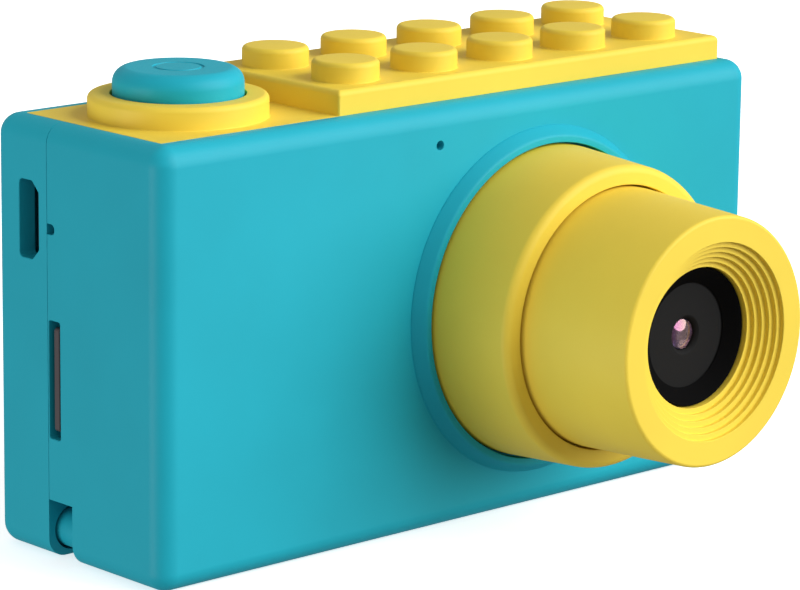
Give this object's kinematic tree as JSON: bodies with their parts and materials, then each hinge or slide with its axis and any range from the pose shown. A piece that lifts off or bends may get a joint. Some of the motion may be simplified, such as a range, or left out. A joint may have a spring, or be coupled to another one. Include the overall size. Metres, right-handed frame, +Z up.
{
  "type": "kids digital camera",
  "caption": "Small boxy toy camera with a two-tier protruding lens, a studded yellow top deck, a round shutter button, a rear screen and keys.",
  "frame": {"origin": "middle of the body's flat base, on the plane it stands on", "axes": "+X along the body's width, towards the lens side of the front; the lens looks along -Y; +Z up"},
  "size_m": [0.0854, 0.054, 0.0511],
  "materials": {
    "blue_plastic": "satin moulded ABS",
    "yellow_plastic": "satin moulded ABS",
    "key_plastic": "satin moulded ABS",
    "black_gloss": "smooth",
    "black_plastic": "satin",
    "dark_grey_plastic": "fine matt",
    "lens_glass": "coated",
    "window_plastic": "clear hard coat over a black print",
    "lcd_glass": "polished",
    "plated_steel": "plated",
    "circuit_board": "solder mask",
    "chip_package": "moulded epoxy",
    "card_plastic": "fine matt",
    "flat_cable": "polyimide film",
    "battery_foil": "foil pouch",
    "lead_sleeve": "soft sleeve",
    "switch_plastic": "satin"
  },
  "bodies": {
    "camera": {"battery_cell": "battery_foil", "battery_lead": "lead_sleeve", "card_socket": "plated_steel", "down_key_switch": "plated_steel", "front_shell": "blue_plastic", "lcd_flex": "flat_cable", "lcd_frame": "plated_steel", "lcd_panel": "lcd_glass", "left_key_switch": "plated_steel", "lens_base_ring": "yellow_plastic", "lens_bezel": "black_gloss", "lens_cell": "black_plastic", "lens_glass": "lens_glass", "lens_holder": "black_plastic", "lens_plate": "dark_grey_plastic", "lens_screw_1": "plated_steel", "lens_screw_2": "plated_steel", "lens_screw_3": "plated_steel", "lens_tube": "yellow_plastic", "main_board": "circuit_board", "memory_chip": "chip_package", "microphone": "plated_steel", "microphone_lead": "lead_sleeve", "mode_key_switch": "plated_steel", "ok_key_switch": "plated_steel", "play_key_switch": "plated_steel", "power_key_switch": "plated_steel", "processor_chip": "chip_package", "rear_shell": "blue_plastic", "reset_switch": "switch_plastic", "right_key_switch": "plated_steel", "screen_window": "window_plastic", "sensor_board": "circuit_board", "sensor_flex": "flat_cable", "shell_screw_corner": "plated_steel", "shell_screw_foot": "plated_steel", "shell_screw_left": "plated_steel", "shell_screw_top": "plated_steel", "shutter_board": "circuit_board", "shutter_board_screw_1": "plated_steel", "shutter_board_screw_2": "plated_steel", "shutter_lead": "lead_sleeve", "shutter_switch": "plated_steel", "speaker": "black_plastic", "speaker_lead": "lead_sleeve", "top_deck": "yellow_plastic", "up_key_switch": "plated_steel", "usb_port": "plated_steel", "usb_tongue": "black_plastic"},
    "shutter": {"shutter_button": "blue_plastic", "shutter_plunger": "black_plastic"},
    "card": {"memory_card": "card_plastic"},
    "up_press": {"up_key": "key_plastic"},
    "down_press": {"down_key": "key_plastic"},
    "left_press": {"left_key": "key_plastic"},
    "right_press": {"right_key": "key_plastic"},
    "ok_press": {"ok_key": "key_plastic"},
    "power_press": {"power_key": "key_plastic"},
    "mode_press": {"mode_key": "key_plastic"},
    "play_press": {"play_key": "key_plastic"}
  },
  "joints": [
    {"name": "shutter_press", "type": "slide", "parent": "camera", "child": "shutter", "axis": [0, 0, -1], "range_m": [0, 0.0008], "stiffness_N_per_m": 800},
    {"name": "up_key_press", "type": "slide", "parent": "camera", "child": "up_press", "axis": [0, -1, 0], "range_m": [0, 0.0005], "stiffness_N_per_m": 600},
    {"name": "down_key_press", "type": "slide", "parent": "camera", "child": "down_press", "axis": [0, -1, 0], "range_m": [0, 0.0005], "stiffness_N_per_m": 600},
    {"name": "left_key_press", "type": "slide", "parent": "camera", "child": "left_press", "axis": [0, -1, 0], "range_m": [0, 0.0005], "stiffness_N_per_m": 600},
    {"name": "right_key_press", "type": "slide", "parent": "camera", "child": "right_press", "axis": [0, -1, 0], "range_m": [0, 0.0005], "stiffness_N_per_m": 600},
    {"name": "ok_key_press", "type": "slide", "parent": "camera", "child": "ok_press", "axis": [0, -1, 0], "range_m": [0, 0.0005], "stiffness_N_per_m": 600},
    {"name": "power_key_press", "type": "slide", "parent": "camera", "child": "power_press", "axis": [0, -1, 0], "range_m": [0, 0.0005], "stiffness_N_per_m": 600},
    {"name": "mode_key_press", "type": "slide", "parent": "camera", "child": "mode_press", "axis": [0, -1, 0], "range_m": [0, 0.0005], "stiffness_N_per_m": 600},
    {"name": "play_key_press", "type": "slide", "parent": "camera", "child": "play_press", "axis": [0, -1, 0], "range_m": [0, 0.0005], "stiffness_N_per_m": 600},
    {"name": "card_slide", "type": "slide", "parent": "camera", "child": "card", "axis": [-1, 0, 0], "range_m": [-0.0005, 0.0135]}
  ]
}
